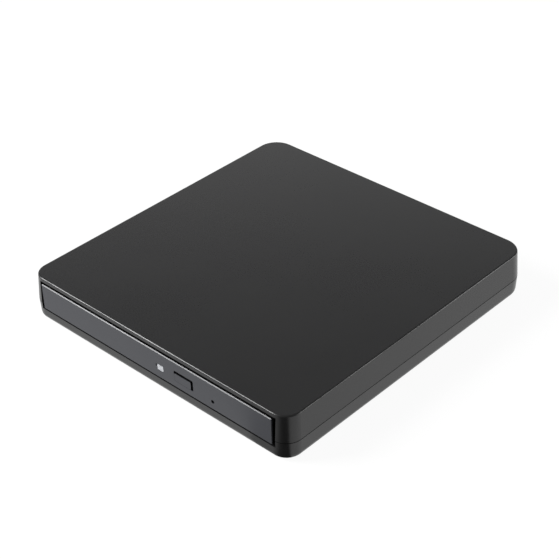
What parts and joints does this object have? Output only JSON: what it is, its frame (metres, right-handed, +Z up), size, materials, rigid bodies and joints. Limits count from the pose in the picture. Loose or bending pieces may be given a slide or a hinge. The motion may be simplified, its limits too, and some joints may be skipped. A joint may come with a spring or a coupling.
{
  "type": "external dvd drive",
  "caption": "Flat rounded housing with a tray-loading disc drive in its front: telescopic tray, spindle with centring hub, laser sled, eject button and latch.",
  "frame": {"origin": "on the surface that the rubber feet rest on, below the middle of the housing", "axes": "+Z up, the bezel faces -Y, +X to the right seen from the front"},
  "size_m": [0.1432, 0.1483, 0.0214],
  "materials": {
    "case_plastic": "fine satin texture",
    "bezel_plastic": "satin",
    "tray_plastic": "satin",
    "hub_plastic": "semi-gloss",
    "guide_plastic": "moulded, natural",
    "white_plastic": "moulded, natural",
    "lamp_plastic": "clear, grey",
    "rubber": "matte",
    "foam": "open foam",
    "dark_screw": "black oxide",
    "bright_screw": "zinc plated",
    "sheet_steel": "zinc plated sheet",
    "bright_steel": "ground",
    "dark_sheet": "black coated sheet",
    "frame_metal": "die cast",
    "copper": "enamelled copper winding",
    "circuit_board": "solder resist",
    "chip": "moulded",
    "ribbon": "flat cable film",
    "lens_glass": "coated"
  },
  "bodies": {
    "housing": {"top_cover": "case_plastic", "bottom_cover": "case_plastic", "rubber_feet": "rubber", "case_screws": "dark_screw", "mount_screws": "bright_screw", "drive_pan": "sheet_steel", "drive_lid": "sheet_steel", "lid_screws": "bright_screw", "foam_strips": "foam", "left_guide": "guide_plastic", "right_guide": "guide_plastic", "main_board": "circuit_board", "main_board_chips": "chip", "data_socket": "chip", "ribbon_cable": "ribbon", "bridge_board": "circuit_board", "board_screws": "bright_screw", "bridge_board_chips": "chip", "data_plug": "chip", "inlet_shell": "bright_steel", "inlet_tongue": "chip", "latch_pin": "bright_steel", "ejector_spring": "bright_steel", "ejector_bracket": "guide_plastic"},
    "ejector": {"ejector_rod": "white_plastic"},
    "left_slide": {"left_rail": "sheet_steel"},
    "right_slide": {"right_rail": "sheet_steel"},
    "tray": {"tray": "tray_plastic", "bezel": "bezel_plastic", "lamp_window": "lamp_plastic", "front_board": "circuit_board", "eject_switch": "chip", "status_led": "white_plastic", "traverse_frame": "frame_metal", "traverse_cover": "dark_sheet", "isolators": "rubber", "isolator_screws": "bright_screw", "guide_rods": "bright_steel", "rod_clamps": "bright_steel", "stepper_motor": "bright_steel", "spindle_motor_base": "frame_metal", "stator": "copper", "latch_pivot": "bright_steel", "latch_magnet": "chip"},
    "spindle": {"rotor": "bright_steel", "turntable": "tray_plastic", "turntable_pad": "rubber", "centring_hub": "hub_plastic"},
    "ball_1": {"chuck_ball_1": "bright_steel"},
    "ball_2": {"chuck_ball_2": "bright_steel"},
    "ball_3": {"chuck_ball_3": "bright_steel"},
    "lead_screw": {"lead_screw": "bright_steel"},
    "sled": {"sled": "frame_metal", "actuator_yoke": "bright_steel", "pickup_cover": "bright_steel", "screw_follower": "white_plastic"},
    "lens": {"lens_holder": "tray_plastic", "objective_lens": "lens_glass"},
    "latch": {"latch_hook": "white_plastic"},
    "button": {"eject_button": "bezel_plastic"}
  },
  "joints": [
    {"name": "tray_slide", "type": "slide", "parent": "housing", "child": "tray", "axis": [0, -1, 0], "range_m": [0, 0.127], "deforming": ["ribbon_cable", "ejector_spring"]},
    {"name": "left_rail_slide", "type": "slide", "parent": "housing", "child": "left_slide", "axis": [0, -1, 0], "range_m": [0, 0.0635]},
    {"name": "right_rail_slide", "type": "slide", "parent": "housing", "child": "right_slide", "axis": [0, -1, 0], "range_m": [0, 0.0635]},
    {"name": "ejector_slide", "type": "slide", "parent": "housing", "child": "ejector", "axis": [0, -1, 0], "range_m": [0, 0.0101]},
    {"name": "spindle_turn", "type": "hinge", "parent": "tray", "child": "spindle", "pos_m": [0, -0.0082, 0.012], "axis": [0, 0, 1], "continuous": true},
    {"name": "sled_slide", "type": "slide", "parent": "tray", "child": "sled", "axis": [-0.7071, -0.7071, 0], "range_m": [0, 0.035]},
    {"name": "lead_screw_turn", "type": "hinge", "parent": "tray", "child": "lead_screw", "pos_m": [-0.01047, -0.04016, 0.0104], "axis": [-0.7071, -0.7071, 0], "range_deg": [0, 4201]},
    {"name": "lens_focus", "type": "slide", "parent": "sled", "child": "lens", "axis": [0, 0, 1], "range_m": [-0.0003, 0.0003], "stiffness_N_per_m": 40},
    {"name": "latch_swing", "type": "hinge", "parent": "tray", "child": "latch", "pos_m": [0.046, -0.064, 0.0105], "axis": [0, 0, 1], "range_deg": [0, 20]},
    {"name": "button_press", "type": "slide", "parent": "tray", "child": "button", "axis": [0, 1, 0], "range_m": [0, 0.0006], "stiffness_N_per_m": 800},
    {"name": "ball_1_slide", "type": "slide", "parent": "spindle", "child": "ball_1", "axis": [-1, 0, 0], "range_m": [0, 0.0005], "stiffness_N_per_m": 300},
    {"name": "ball_2_slide", "type": "slide", "parent": "spindle", "child": "ball_2", "axis": [0.5, -0.866, 0], "range_m": [0, 0.0005], "stiffness_N_per_m": 300},
    {"name": "ball_3_slide", "type": "slide", "parent": "spindle", "child": "ball_3", "axis": [0.5, 0.866, 0], "range_m": [0, 0.0005], "stiffness_N_per_m": 300}
  ],
  "couplings": [
    {"joint": "left_rail_slide", "follows": "tray_slide", "ratio": 0.5},
    {"joint": "right_rail_slide", "follows": "tray_slide", "ratio": 0.5},
    {"joint": "ejector_slide", "follows": "tray_slide", "ratio": 0.07874},
    {"joint": "lead_screw_turn", "follows": "sled_slide", "rad_per_m": 2094.4}
  ]
}
